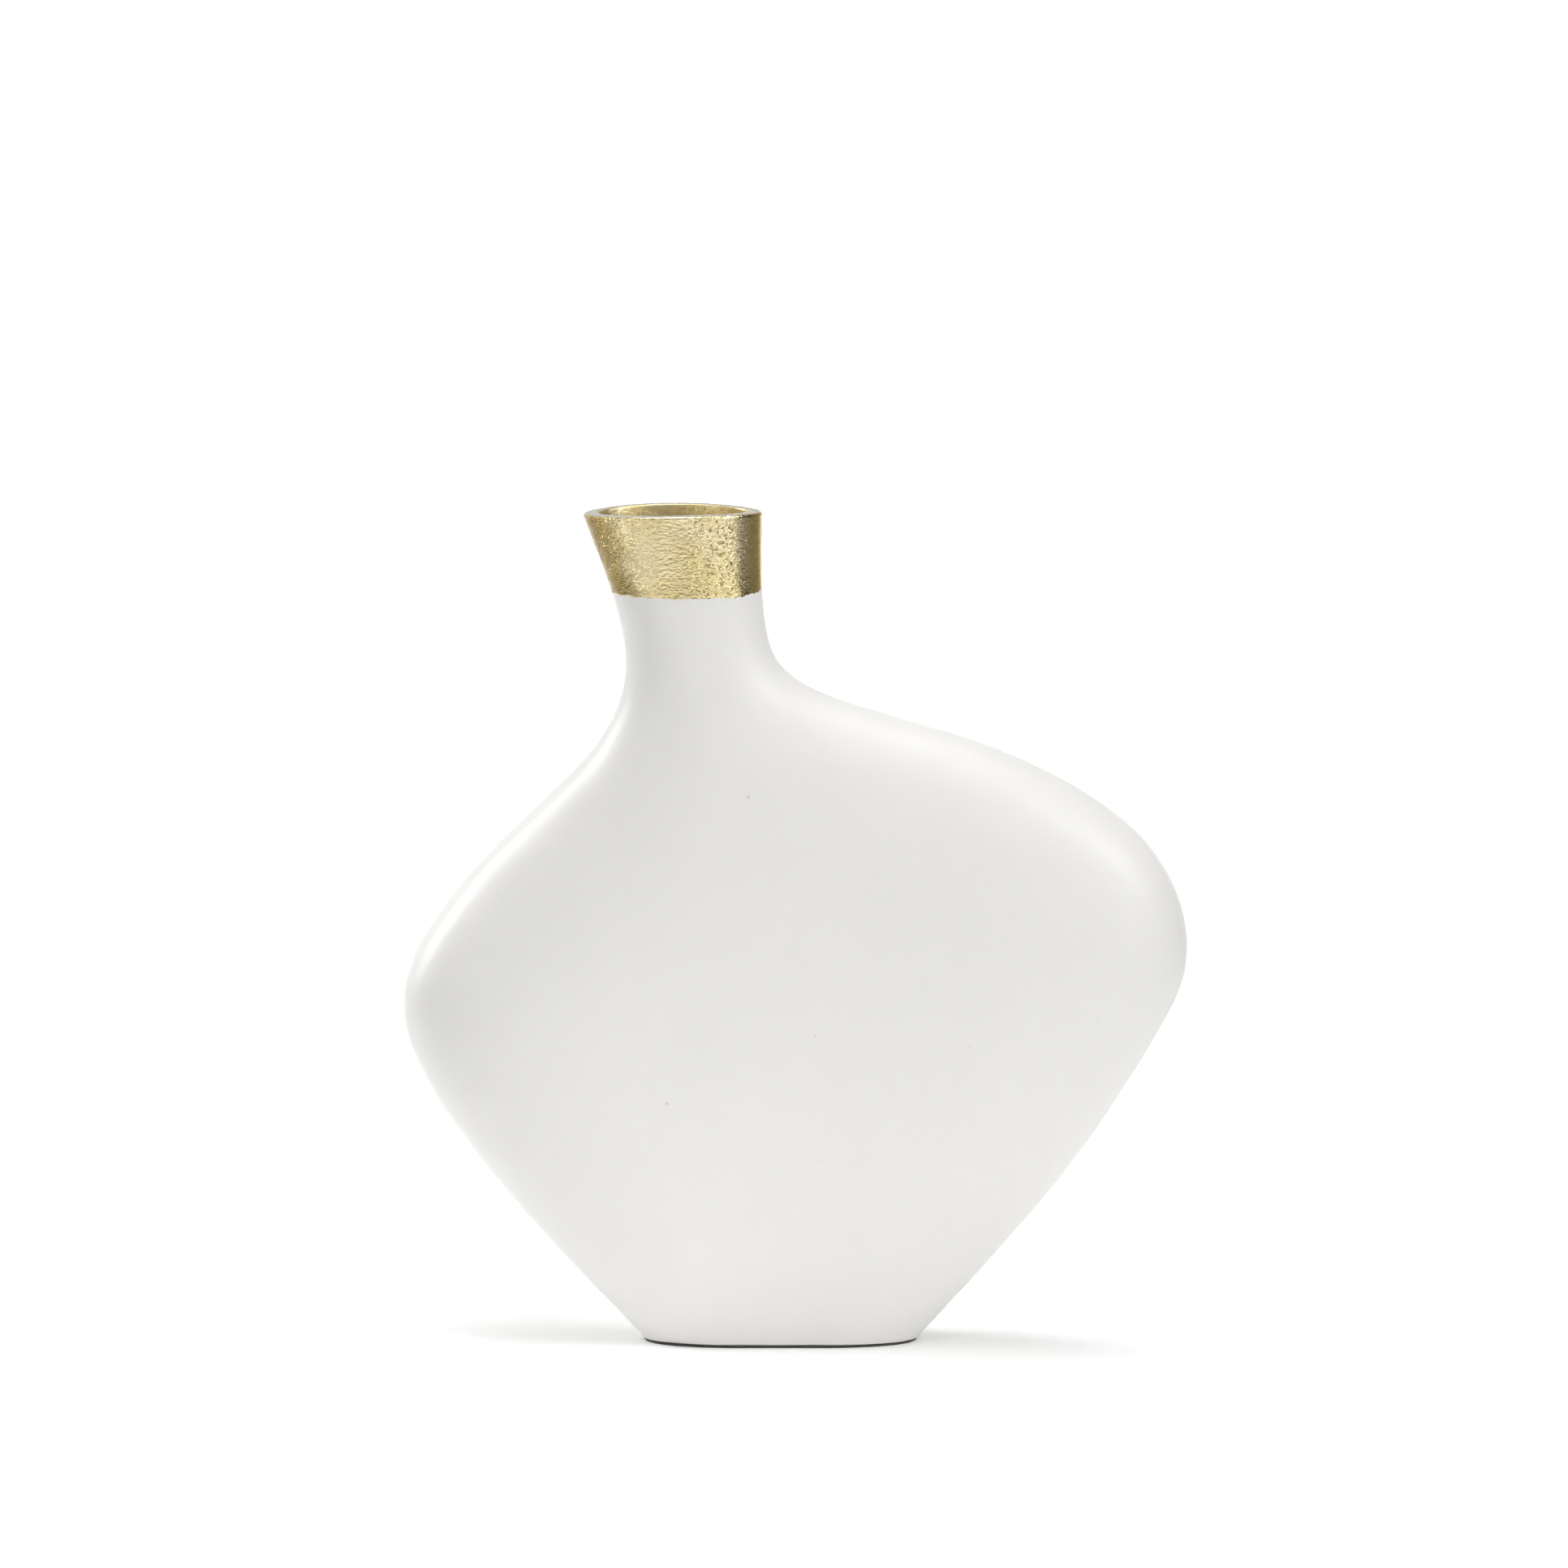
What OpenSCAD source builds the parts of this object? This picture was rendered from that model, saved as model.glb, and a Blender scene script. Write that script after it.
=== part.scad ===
// Flask vase with a gilded mouth.
//
// A wide, flat, lopsided flask. Two half castings are welded along their sides, ground
// smooth and coated white. A gold collar is lapped over the top of the neck, a plate is
// let into the foot to close the casting, and a thin dark pad is stuck underneath.
//
// Units are millimetres and +Z is up. The vase stands on z = 0, its broad front faces -Y,
// and x = 0 is the middle of its overall width.

/* [Overall size] */
// Height from the table to the highest point of the rim
vase_h = 280; // [250:1:320]
// Width across the two side bulges
vase_w = 261; // [235:1:300]
// Thickness of the belly from front to back
vase_d = 66; // [60:1:80]

/* [Casting] */
// Thickness of the cast wall
wall = 5; // [4.5:0.1:6]
// Half the width of the weld that fills the parting line
weld_half_w = 1.5; // [1:0.1:1.5]
// Depth of the groove the weld fills
weld_depth = 2; // [1:0.1:2.2]
// Sharpness of the body's rolled edge: 2 is an ellipse, larger is flatter with a tighter edge
roll_power = 2.6; // [2.2:0.1:3]
// The same at the mouth
mouth_roll_power = 2; // [1.8:0.1:2.4]

/* [Gilded collar] */
// Height of the collar, from the gold edge to the rim
collar_h = 28; // [22:0.5:36]
// How far the collar reaches down over the neck
lap_h = 8; // [5:0.5:12]
// Depth of the step cut in the neck for the collar
lap_depth = 3; // [2.6:0.1:3.2]
// How far the ground rim falls from its highest point to its left end
rim_fall = 1.2; // [0:0.1:2]
// Where the rim is highest: 0 is its left end and 1 its right end
rim_peak = 0.6; // [0.5:0.05:0.8]
// Rounding of the outer edge of the rim
rim_round = 1; // [0.5:0.1:1.2]
// Rounding of the inner edge of the rim
rim_inner_round = 0.6; // [0.4:0.1:0.8]

/* [Foot] */
// Thickness of the plate that closes the foot
plate_t = 3; // [2:0.5:3.5]
// Width of the foot's edge outside the plate
plate_edge = 2.5; // [2:0.1:3]
// Width of the ledge the plate rests against
ledge_w = 3.5; // [3:0.1:4]
// Thickness of the dark pad
pad_t = 0.8; // [0.6:0.1:3]
// How far the pad is set in from the edge of the foot
pad_inset = 0.3; // [0.2:0.1:1]
// Thickness of the adhesive film
film_t = 0.2; // [0.1:0.1:0.5]
// How far the film is set in from the edge of the foot
film_inset = 1.2; // [1:0.1:2]

/* [Fit] */
// Clearance between parts that slide together
fit_gap = 0.15; // [0.1:0.05:0.3]

/* [Node] */
// Which part to draw

/* [Hidden] */

// Colours of the finished parts
enamel = [0.88, 0.88, 0.86];
metal = [0.62, 0.62, 0.60];
gold = [0.80, 0.68, 0.40];
dark_pad = [0.12, 0.11, 0.10];
clear_film = [0.75, 0.72, 0.60];

// Size the curves below were laid out at
design_h = 280;
design_w = 261;
design_d = 66;

// Left edge of the vase seen from the front: height, then x
left_edge = [
    [-14, -37], [0, -50], [14, -63], [35, -83], [60, -104], [88, -124], [118, -135],
    [146, -119], [173, -95], [198, -66], [221, -55], [239, -57], [253, -61],
    [267, -66], [280, -70.5], [294, -75]
];

// Right edge: height, then x
right_edge = [
    [-14, 27], [0, 40], [14, 53], [40, 76], [67, 98], [100, 118], [127, 134],
    [158, 127], [181, 106], [202, 66], [214, 18], [225, -6], [240, -10],
    [253, -11], [267, -11], [280, -11], [294, -11]
];

// Front edge seen from the side: height, then distance from the middle plane
side_edge = [
    [-14, 11], [0, 17], [12, 21], [30, 26], [60, 30], [100, 33], [140, 33.3], [175, 30],
    [200, 25.5], [218, 21], [235, 18.5], [252, 18.5], [268, 19.2], [280, 20], [294, 20.8]
];

// Width of the rolled edge on the left: height, then width measured square to the outline
left_roll = [
    [-14, 24], [0, 28], [40, 46], [80, 60], [120, 66], [170, 62], [200, 44],
    [222, 27], [240, 19], [252, 18], [280, 28], [294, 32]
];

// The same on the right, where the neck turns away more gently
right_roll = [
    [-14, 24], [0, 28], [40, 46], [80, 60], [120, 66], [170, 62], [200, 46],
    [222, 34], [240, 31], [252, 34], [280, 36], [294, 36]
];

// Change of the rolled edge up the vase: height, then 0 for the body's shape and 1 for the mouth's
mouth_share = [
    [-14, 0], [180, 0], [205, 0], [230, 1 / 3], [252, 2 / 3], [280, 1], [294, 1]
];

// Points drawn between two neighbouring control points
curve_steps = 6;
// Spans across the front of each level
spans = 26;
// How strongly the points gather towards the two ends of a level
end_crowding = 0.3;
// Design heights between which the shoulder is nearly level
shoulder_low = 192;
shoulder_high = 228;
// Height between levels on the belly and on the shoulder, and number of levels above it
belly_step = 6;
shoulder_step = 3;
neck_levels = 4;
// Height of the first level above the foot
foot_step = 2;
// Height over which the ledge for the plate opens into the wall
ledge_rise = 1;
// Height of the inside level just below the collar's lower edge
lap_step = 2;
// Height above the spigot from which grinding the rim moves the collar's points
ground_start = 2;

height_scale = vase_h / design_h;
width_scale = vase_w / design_w;
depth_scale = vase_d / design_d;

left_curve = spline(scaled(left_edge, width_scale));
right_curve = spline(scaled(right_edge, width_scale));
side_curve = spline(scaled(side_edge, depth_scale));
left_roll_curve = spline(scaled(left_roll, width_scale));
right_roll_curve = spline(scaled(right_roll, width_scale));
mouth_share_curve = spline(scaled(mouth_share, 1));

// The casting stands on the pad and its film
foot_z = pad_t + film_t;
plate_top_z = foot_z + plate_t;
gold_z = vase_h - collar_h;
spigot_z = gold_z + lap_h;

// Levels of the outside of the casting, closest together where the shoulder is nearly flat
outer_levels = concat(
    [foot_z, foot_z + foot_step],
    [for (z = [belly_step : belly_step : shoulder_low]) z * height_scale],
    [for (z = [shoulder_low + shoulder_step : shoulder_step : shoulder_high]) z * height_scale],
    [
        for (i = [1 : neck_levels])
        let (start = shoulder_high * height_scale)
        start + (gold_z - start) * i / neck_levels
    ]
);

// ---- curves -------------------------------------------------------------------------

function scaled(points, factor) = [for (p = points) [p[0] * height_scale, p[1] * factor]];

// One point of a cubic B-spline span
function spline_point(a, b, c, d, t) =
    (pow(1 - t, 3) * a
    + (3 * pow(t, 3) - 6 * t * t + 4) * b
    + (-3 * pow(t, 3) + 3 * t * t + 3 * t + 1) * c
    + pow(t, 3) * d) / 6;

// Smooth curve guided by the points, starting and ending on the first and last
function spline(p) =
    let (
        last = len(p) - 1,
        all = concat([2 * p[0] - p[1]], p, [2 * p[last] - p[last - 1]])
    )
    concat(
        [
            for (i = [0 : last - 1])
            for (k = [0 : curve_steps - 1])
            spline_point(all[i], all[i + 1], all[i + 2], all[i + 3], k / curve_steps)
        ],
        [p[last]]
    );

// The curve moved square to itself towards the middle of the vase; side is 1 for left, -1 for right
function inset_curve(curve, side, distance) = [
    for (i = [0 : len(curve) - 1])
    let (
        along = curve[min(i + 1, len(curve) - 1)] - curve[max(i - 1, 0)],
        unit = along / norm(along)
    )
    curve[i] + distance * side * [-unit[1], unit[0]]
];

function left_x(z, inset) = lookup(z, inset_curve(left_curve, 1, inset));
function right_x(z, inset) = lookup(z, inset_curve(right_curve, -1, inset));

// How strongly one straight piece of the outline is felt at p: the closed form of the
// integral of 1 / r^5 along the piece, scaled so that a long straight edge gives 1 / distance^4
function nearness_of_piece(a, b, p) =
    let (
        along = (b - a) / norm(b - a),
        ahead = (b - p) * along,
        behind = (a - p) * along,
        off = max(norm((a - p) - behind * along), 0.01),
        s1 = behind / norm([behind, off]),
        s2 = ahead / norm([ahead, off])
    )
    0.75 * ((s2 - pow(s2, 3) / 3) - (s1 - pow(s1, 3) / 3)) / pow(off, 4);

function nearness(curve, p) =
    [for (i = [0 : len(curve) - 2]) nearness_of_piece(curve[i], curve[i + 1], p)]
    * [for (i = [0 : len(curve) - 2]) 1];

// Distance from p to one side's outline. It is exact near the edge and has no crease further in.
function smooth_distance(curve, p) = pow(nearness(curve, p), -1 / 4);

// How far the skin has risen at p from one side's outline, set in by inset
function risen(curve, roll_curve, p, inset) =
    roll(
        (smooth_distance(curve, p) - inset) / (lookup(p[0], roll_curve) - inset),
        power_at(p[0])
    );

// ---- the skin -----------------------------------------------------------------------

// Sharpness of the rolled edge at a height
function power_at(z) =
    roll_power + (mouth_roll_power - roll_power) * lookup(z, mouth_share_curve);

// Rolled edge: rises from 0 at the outline to 1 one roll width in
function roll(t, power) =
    t >= 1 ? 1 : pow(1 - pow(1 - max(t, 0), power), 1 / power);

// Distance from the middle plane to the skin, at x and z, for a skin set in by inset
function skin_y(x, z, inset) =
    (lookup(z, side_curve) - inset)
    * risen(left_curve, left_roll_curve, [z, x], inset)
    * risen(right_curve, right_roll_curve, [z, x], inset);

// Angle of span j, 0 at the left end and 180 at the right
function span_angle(j) =
    180 * j / spans - end_crowding * sin(360 * j / spans) * 90 / PI;

// One level of the front skin, from the middle plane on the left to the middle plane on
// the right. The plan is taken at height z and drawn at height draw_z. The two end points
// are pulled in to end_inset, which leaves the groove for the weld.
function front_row(draw_z, z, inset, end_inset) =
    let (
        x0 = left_x(z, inset),
        x1 = right_x(z, inset),
        middle = (x0 + x1) / 2,
        half = (x1 - x0) / 2
    )
    concat(
        [[left_x(z, end_inset), 0, draw_z], [x0, -weld_half_w, draw_z]],
        [
            for (j = [1 : spans - 1])
            let (x = middle - half * cos(span_angle(j)))
            [x, -skin_y(x, z, inset), draw_z]
        ],
        [[x1, -weld_half_w, draw_z], [right_x(z, end_inset), 0, draw_z]]
    );

// A whole level: the front row, then its mirror image back to the start
function whole_row(draw_z, z, inset) =
    let (
        front = front_row(draw_z, z, inset, inset),
        last = len(front) - 1
    )
    concat(front, [for (j = [last - 1 : -1 : 1]) [front[j][0], -front[j][1], front[j][2]]]);

// ---- solids -------------------------------------------------------------------------

// Two triangles for each cell between row i and row k of a grid with the given columns
function strip(i, k, columns, cells) = [
    for (j = [0 : cells - 1])
    let (
        j2 = (j + 1) % columns,
        a = i * columns + j,
        b = i * columns + j2,
        c = k * columns + j2,
        d = k * columns + j
    )
    each [[a, b, c], [a, c, d]]
];

// Half of a hollow ring: an outer skin, an inner skin with as many rows, flat edges at the
// bottom and the top, and a flat face on the middle plane at each end
module half_ring(outer, inner) {
    count = len(outer);
    columns = len(outer[0]);
    rows = concat(outer, [for (i = [count - 1 : -1 : 0]) inner[i]]);
    last = columns - 1;
    mate = 2 * count - 1;
    polyhedron(
        points = [for (row = rows) each row],
        faces = concat(
            [for (i = [0 : 2 * count - 1]) each strip(i, (i + 1) % (2 * count), columns, last)],
            [
                for (i = [0 : count - 2])
                let (
                    a = i * columns,
                    b = (i + 1) * columns,
                    c = (mate - i - 1) * columns,
                    d = (mate - i) * columns
                )
                each [[a, b, d], [b, c, d], [b + last, a + last, d + last], [c + last, b + last, d + last]]
            ]
        ),
        convexity = 10
    );
}

// Ring swept through rows that each make a full turn, with a closed section
module full_ring(rows) {
    count = len(rows);
    columns = len(rows[0]);
    polyhedron(
        points = [for (row = rows) each row],
        faces = [for (i = [0 : count - 1]) each strip(i, (i + 1) % count, columns, columns)],
        convexity = 10
    );
}

// Column of small triangles, one to a level, closed at the bottom and the top
module wedge_column(rows) {
    count = len(rows);
    polyhedron(
        points = [for (row = rows) each row],
        faces = concat(
            [for (i = [0 : count - 2]) each strip(i, i + 1, 3, 3)],
            [[2, 1, 0]],
            [[(count - 1) * 3, (count - 1) * 3 + 1, (count - 1) * 3 + 2]]
        ),
        convexity = 4
    );
}

// ---- parts --------------------------------------------------------------------------

// Front half of the casting, from the left parting line round the front to the right one
module half_casting() {
    skin_rows = len(outer_levels);
    ledge = plate_edge + ledge_w;
    outer = concat(
        [for (z = outer_levels) front_row(z, z, 0, weld_depth)],
        [
            front_row(gold_z, gold_z, lap_depth, lap_depth),
            front_row(spigot_z, spigot_z, lap_depth, lap_depth)
        ]
    );
    inner = concat(
        [
            front_row(foot_z, foot_z, plate_edge, plate_edge),
            front_row(plate_top_z, foot_z, plate_edge, plate_edge),
            front_row(plate_top_z, foot_z, ledge, ledge),
            front_row(plate_top_z + ledge_rise, foot_z, ledge, ledge)
        ],
        [for (i = [4 : skin_rows - 2]) front_row(outer_levels[i], outer_levels[i], wall, wall)],
        [for (z = [gold_z - lap_step, gold_z, spigot_z]) front_row(z, z, wall, wall)]
    );
    half_ring(outer, inner);
}

module front_shell() {
    color(enamel) half_casting();
}

module rear_shell() {
    color(enamel) mirror([0, 1, 0]) half_casting();
}

module left_weld() {
    color(metal) wedge_column([
        for (z = outer_levels)
        let (root = left_x(z, weld_depth), face = left_x(z, 0))
        [[root, 0, z], [face, -weld_half_w, z], [face, weld_half_w, z]]
    ]);
}

module right_weld() {
    color(metal) wedge_column([
        for (z = outer_levels)
        let (root = right_x(z, weld_depth), face = right_x(z, 0))
        [[face, -weld_half_w, z], [root, 0, z], [face, weld_half_w, z]]
    ]);
}

// A collar point after the rim has been ground slightly crowned and out of level
function ground(p) =
    let (
        x0 = left_x(vase_h, 0),
        share = (p[0] - x0) / (right_x(vase_h, 0) - x0),
        fall = rim_fall * pow((share - rim_peak) / rim_peak, 2),
        start = spigot_z + ground_start
    )
    [p[0], p[1], p[2] - fall * max(0, (p[2] - start) / (vase_h - start))];

module gilded_collar() {
    socket = lap_depth - fit_gap;
    socket_z = spigot_z + fit_gap;
    corner = 1 - cos(45);
    outside = [for (i = [0 : 5]) let (z = gold_z + (vase_h - rim_round - gold_z) * i / 5) [z, 0]];
    rim = [
        [vase_h - rim_round * corner, rim_round * corner],
        [vase_h, rim_round],
        [vase_h, wall - rim_inner_round],
        [vase_h - rim_inner_round * corner, wall - rim_inner_round * corner],
        [vase_h - rim_inner_round, wall]
    ];
    inside = [
        [(vase_h + socket_z) / 2, wall],
        [socket_z, wall],
        [socket_z, socket],
        [gold_z, socket]
    ];
    color(gold) full_ring([
        for (p = concat(outside, rim, inside))
        [for (q = whole_row(p[0], p[0], p[1])) ground(q)]
    ]);
}

// Flat piece with the plan of the foot, set in by inset
module foot_shape(inset, bottom_z, thickness) {
    translate([0, 0, bottom_z])
        linear_extrude(height = thickness)
            polygon([for (p = whole_row(0, foot_z, inset)) [p[0], p[1]]]);
}

module base_plate() {
    color(metal) foot_shape(plate_edge + fit_gap, foot_z, plate_t);
}

module pad_adhesive() {
    color(clear_film) foot_shape(film_inset, pad_t, film_t);
}

module base_pad() {
    color(dark_pad) foot_shape(pad_inset, 0, pad_t);
}

front_shell();
rear_shell();
left_weld();
right_weld();
gilded_collar();
base_plate();
pad_adhesive();
base_pad();
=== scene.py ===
# %% [markdown]
# # A flask vase with a gilded mouth
#
# The vase is a wide, flat, lopsided flask cast in metal: two thin shells joined along their
# sides, coated in satin white, with a rough gold mouth and a thin dark pad under the foot.
# The solid model is loaded first and fixes every size. What is made here stands in for those
# solids with finer surfaces, and gives each one the finish a maker would give it.

# %% Load the solid model
import math

import bpy
import numpy as np
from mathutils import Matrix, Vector


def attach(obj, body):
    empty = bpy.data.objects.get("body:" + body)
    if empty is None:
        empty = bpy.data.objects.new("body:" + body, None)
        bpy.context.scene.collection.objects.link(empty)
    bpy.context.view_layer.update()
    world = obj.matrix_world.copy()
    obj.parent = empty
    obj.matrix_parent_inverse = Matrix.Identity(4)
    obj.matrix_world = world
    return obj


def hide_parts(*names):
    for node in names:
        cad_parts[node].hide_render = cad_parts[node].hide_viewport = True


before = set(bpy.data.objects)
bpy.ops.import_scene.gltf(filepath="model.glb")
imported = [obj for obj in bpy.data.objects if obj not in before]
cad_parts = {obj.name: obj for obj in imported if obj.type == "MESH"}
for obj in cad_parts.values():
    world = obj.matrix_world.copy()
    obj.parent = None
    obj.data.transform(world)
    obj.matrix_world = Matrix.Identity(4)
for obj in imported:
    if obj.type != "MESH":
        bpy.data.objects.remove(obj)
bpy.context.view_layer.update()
MM = 0.001

# %% [markdown]
# ## The outline
#
# A free-form vase is easiest to describe the way a pattern maker would: a few points down each
# side, a few for the thickness seen from the side, and one rule for how the edge rolls over.
# A cubic B-spline turns each list into one smooth curve. The points are guides, so the curve
# passes close to them and bends evenly between them, which keeps reflections calm.

# %% Guide points, in millimetres: height first
LEFT_EDGE = [
    (-14, -37), (0, -50), (14, -63), (35, -83), (60, -104), (88, -124), (118, -135),
    (146, -119), (173, -95), (198, -66), (221, -55), (239, -57), (253, -61),
    (267, -66), (280, -70.5), (294, -75),
]
RIGHT_EDGE = [
    (-14, 27), (0, 40), (14, 53), (40, 76), (67, 98), (100, 118), (127, 134),
    (158, 127), (181, 106), (202, 66), (214, 18), (225, -6), (240, -10),
    (253, -11), (267, -11), (280, -11), (294, -11),
]
HALF_DEPTH = [
    (-14, 11), (0, 17), (12, 21), (30, 26), (60, 30), (100, 33), (140, 33.3), (175, 30),
    (200, 25.5), (218, 21), (235, 18.5), (252, 18.5), (268, 19.2), (280, 20), (294, 20.8),
]
LEFT_ROLL = [
    (-14, 24), (0, 28), (40, 46), (80, 60), (120, 66), (170, 62), (200, 44),
    (222, 27), (240, 19), (252, 18), (280, 28), (294, 32),
]
RIGHT_ROLL = [
    (-14, 24), (0, 28), (40, 46), (80, 60), (120, 66), (170, 62), (200, 46),
    (222, 34), (240, 31), (252, 34), (280, 36), (294, 36),
]
# 2 is an ellipse; a larger power is flatter in front with a tighter edge
ROLL_POWER = [
    (-14, 2.6), (180, 2.6), (205, 2.6), (230, 2.4), (252, 2.2), (280, 2.0), (294, 2.0),
]
CURVE_STEPS = 16


# %% Smooth curves through the guide points
def smooth_curve(points):
    """A cubic B-spline that starts and ends on the first and last point."""
    guide = np.array(points, dtype=float)
    guide = np.vstack([2 * guide[0] - guide[1], guide, 2 * guide[-1] - guide[-2]])
    t = np.arange(CURVE_STEPS)[:, None] / CURVE_STEPS
    pull = (
        (1 - t) ** 3,
        3 * t**3 - 6 * t**2 + 4,
        -3 * t**3 + 3 * t**2 + 3 * t + 1,
        t**3,
    )
    spans = [
        sum(weight * guide[first + k] for k, weight in enumerate(pull)) / 6
        for first in range(len(points) - 1)
    ]
    return np.vstack(spans + [guide[-2:-1]])


left_curve = smooth_curve(LEFT_EDGE)
right_curve = smooth_curve(RIGHT_EDGE)
depth_curve = smooth_curve(HALF_DEPTH)
left_roll = smooth_curve(LEFT_ROLL)
right_roll = smooth_curve(RIGHT_ROLL)
power_curve = smooth_curve(ROLL_POWER)


def along(curve, height):
    """The curve's value at a height."""
    return np.interp(height, curve[:, 0], curve[:, 1])


widest = (left_curve[:, 1].min().round(1), right_curve[:, 1].max().round(1))
print("widest left and right, mm:", *widest)


# %% [markdown]
# ## The skin
#
# Seen from the front, the vase is nearly flat in the middle and rolls over near its outline.
# So the distance to the outline decides how far the surface has risen. A plain nearest distance
# would leave a crease where two sides are equally near. A weighted one, which feels every bit of
# the outline by the inverse fifth power, is exact at the edge and smooth everywhere inside.

# %% Rise of the surface from its outline
def inset_curve(curve, side, distance):
    """The curve moved towards the middle of the vase; side is 1 for left and -1 for right."""
    step = np.gradient(curve, axis=0)
    step /= np.linalg.norm(step, axis=1)[:, None]
    return curve + distance * side * np.stack([-step[:, 1], step[:, 0]], axis=1)


def edge_x(curve, side, height, inset):
    return along(inset_curve(curve, side, inset), height)


def smooth_distance(curve, x, z):
    """Distance from points to one side's outline, in millimetres."""
    total = np.zeros_like(x)
    for a, b in zip(curve[:-1], curve[1:]):
        length = math.dist(a, b)
        way_z, way_x = (b - a) / length
        behind = (a[0] - z) * way_z + (a[1] - x) * way_x
        off_z = (a[0] - z) - behind * way_z
        off_x = (a[1] - x) - behind * way_x
        off2 = np.maximum(off_z**2 + off_x**2, 1e-4)
        ahead = behind + length
        s1 = behind / np.sqrt(behind**2 + off2)
        s2 = ahead / np.sqrt(ahead**2 + off2)
        total += 0.75 * ((s2 - s2**3 / 3) - (s1 - s1**3 / 3)) / off2**2
    return total**-0.25


def roll(t, power):
    """0 at the outline, 1 one roll width in."""
    t = np.clip(t, 0, 1)
    return (1 - (1 - t) ** power) ** (1 / power)


def skin_y(x, z, inset):
    """Distance of the skin from the middle plane, for a skin set in by inset."""
    from_left = smooth_distance(left_curve, x, z) - inset
    from_right = smooth_distance(right_curve, x, z) - inset
    power = along(power_curve, z)
    return (
        (along(depth_curve, z) - inset)
        * roll(from_left / (along(left_roll, z) - inset), power)
        * roll(from_right / (along(right_roll, z) - inset), power)
    )


# %% [markdown]
# ## Rows of points
#
# Every surface here is a grid: one row of points for each level, running over the front from the
# left parting line to the right one. The rows are packed closely on the shoulder, where the
# outline runs almost level, by spacing them evenly along the outline and not up the height.

# %% Rows for the front, and rows that go right round
WELD_HALF_WIDTH = 1.5
END_CROWDING = 0.3


def span_angles(spans):
    turn = np.arange(1, spans) / spans
    return math.pi * turn - END_CROWDING * np.sin(2 * math.pi * turn) / 2


def front_rows(levels, spans):
    """levels: (drawn height, height the plan is taken at, inset, inset of the two end points)."""
    drawn, plan, inset, end_inset = np.array(levels, dtype=float).T
    inset_values, which = np.unique(inset, return_inverse=True)
    x0 = np.zeros(len(plan))
    x1 = np.zeros(len(plan))
    for k, value in enumerate(inset_values):
        rows = which == k
        x0[rows] = edge_x(left_curve, 1, plan[rows], value)
        x1[rows] = edge_x(right_curve, -1, plan[rows], value)
    middle = (x0 + x1)[:, None] / 2
    half = (x1 - x0)[:, None] / 2
    x = middle - half * np.cos(span_angles(spans))[None, :]
    z = np.repeat(plan[:, None], spans - 1, axis=1)
    # Right at the ends the skin runs into the flat edge of the weld, with no fold
    y = -((skin_y(x, z, inset[:, None]) ** 4 + WELD_HALF_WIDTH**4) ** 0.25)
    out = np.zeros((len(plan), spans + 3, 3))
    out[:, 2:-2, 0] = x
    out[:, 2:-2, 1] = y
    out[:, 1, 0] = x0
    out[:, -2, 0] = x1
    out[:, 1, 1] = out[:, -2, 1] = -WELD_HALF_WIDTH
    for row, (height, pull) in enumerate(zip(plan, end_inset)):
        out[row, 0, 0] = edge_x(left_curve, 1, height, pull)
        out[row, -1, 0] = edge_x(right_curve, -1, height, pull)
    out[:, :, 2] = drawn[:, None]
    return out


def whole_rows(levels, spans):
    """Each front row, then its mirror image back to the start."""
    front = front_rows([(a, b, c, c) for a, b, c in levels], spans)
    back = front[:, -2:0:-1].copy()
    back[:, :, 1] *= -1
    return np.concatenate([front, back], axis=1)


def even_levels(low, high, count):
    """Heights spaced evenly along the outline between two heights."""
    height = np.linspace(low, high, 2000)
    left = along(left_curve, height)
    right = along(right_curve, height)
    run = np.hypot(np.diff(height), np.diff(left)) + np.hypot(np.diff(height), np.diff(right))
    travelled = np.concatenate([[0], np.cumsum(run)])
    return np.interp(np.linspace(0, travelled[-1], count), travelled, height)


# %% [markdown]
# ## The lie of a hand-finished surface
#
# A sand casting is never perfectly true. Even after grinding and coating, the wide front has
# shallow waves a few centimetres long. Summing a handful of plane waves of random direction
# gives such a surface without any grid pattern, and a fixed seed gives the same one every time.

# %% Waves in space, and moving a grid along its normals
def waves(points, shortest, longest, seed, count=36, stretch=(1, 1, 1)):
    """Smooth random height, about -1 to 1, for points in millimetres."""
    random = np.random.default_rng(seed)
    flat = points.reshape(-1, 3) / np.array(stretch, dtype=float)
    height = np.zeros(len(flat))
    for _ in range(count):
        way = random.normal(size=3)
        way /= np.linalg.norm(way)
        length = random.uniform(shortest, longest)
        phase = random.uniform(0, 2 * math.pi)
        height += np.cos(flat @ (way * 2 * math.pi / length) + phase)
    return (height / math.sqrt(count)).reshape(points.shape[:-1])


def grid_normals(grid, closed):
    """Unit normals of a grid of points, with rows that may close on themselves."""
    if closed:
        across = np.roll(grid, -1, axis=1) - np.roll(grid, 1, axis=1)
    else:
        across = np.gradient(grid, axis=1)
    up = np.gradient(grid, axis=0)
    normal = np.cross(across, up)
    length = np.linalg.norm(normal, axis=2)
    return normal / np.maximum(length, 1e-9)[:, :, None]


def casting_waves(points):
    """Height in millimetres of the shallow waves left in the casting."""
    return 0.10 * waves(points, 16, 46, seed=11) + 0.025 * waves(points, 6, 12, seed=12)


# %% Turn grids of points into pieces
def grid_faces(rows, columns, across, wrap_rows):
    """Four-sided faces between neighbouring rows; across is how many cells each row has."""
    row = np.arange(rows if wrap_rows else rows - 1)[:, None]
    cell = np.arange(across)[None, :]
    next_row = (row + 1) % rows
    next_cell = (cell + 1) % columns
    corners = [
        row * columns + cell,
        row * columns + next_cell,
        next_row * columns + next_cell,
        next_row * columns + cell,
    ]
    return np.stack(corners, axis=-1).reshape(-1, 4)


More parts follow.
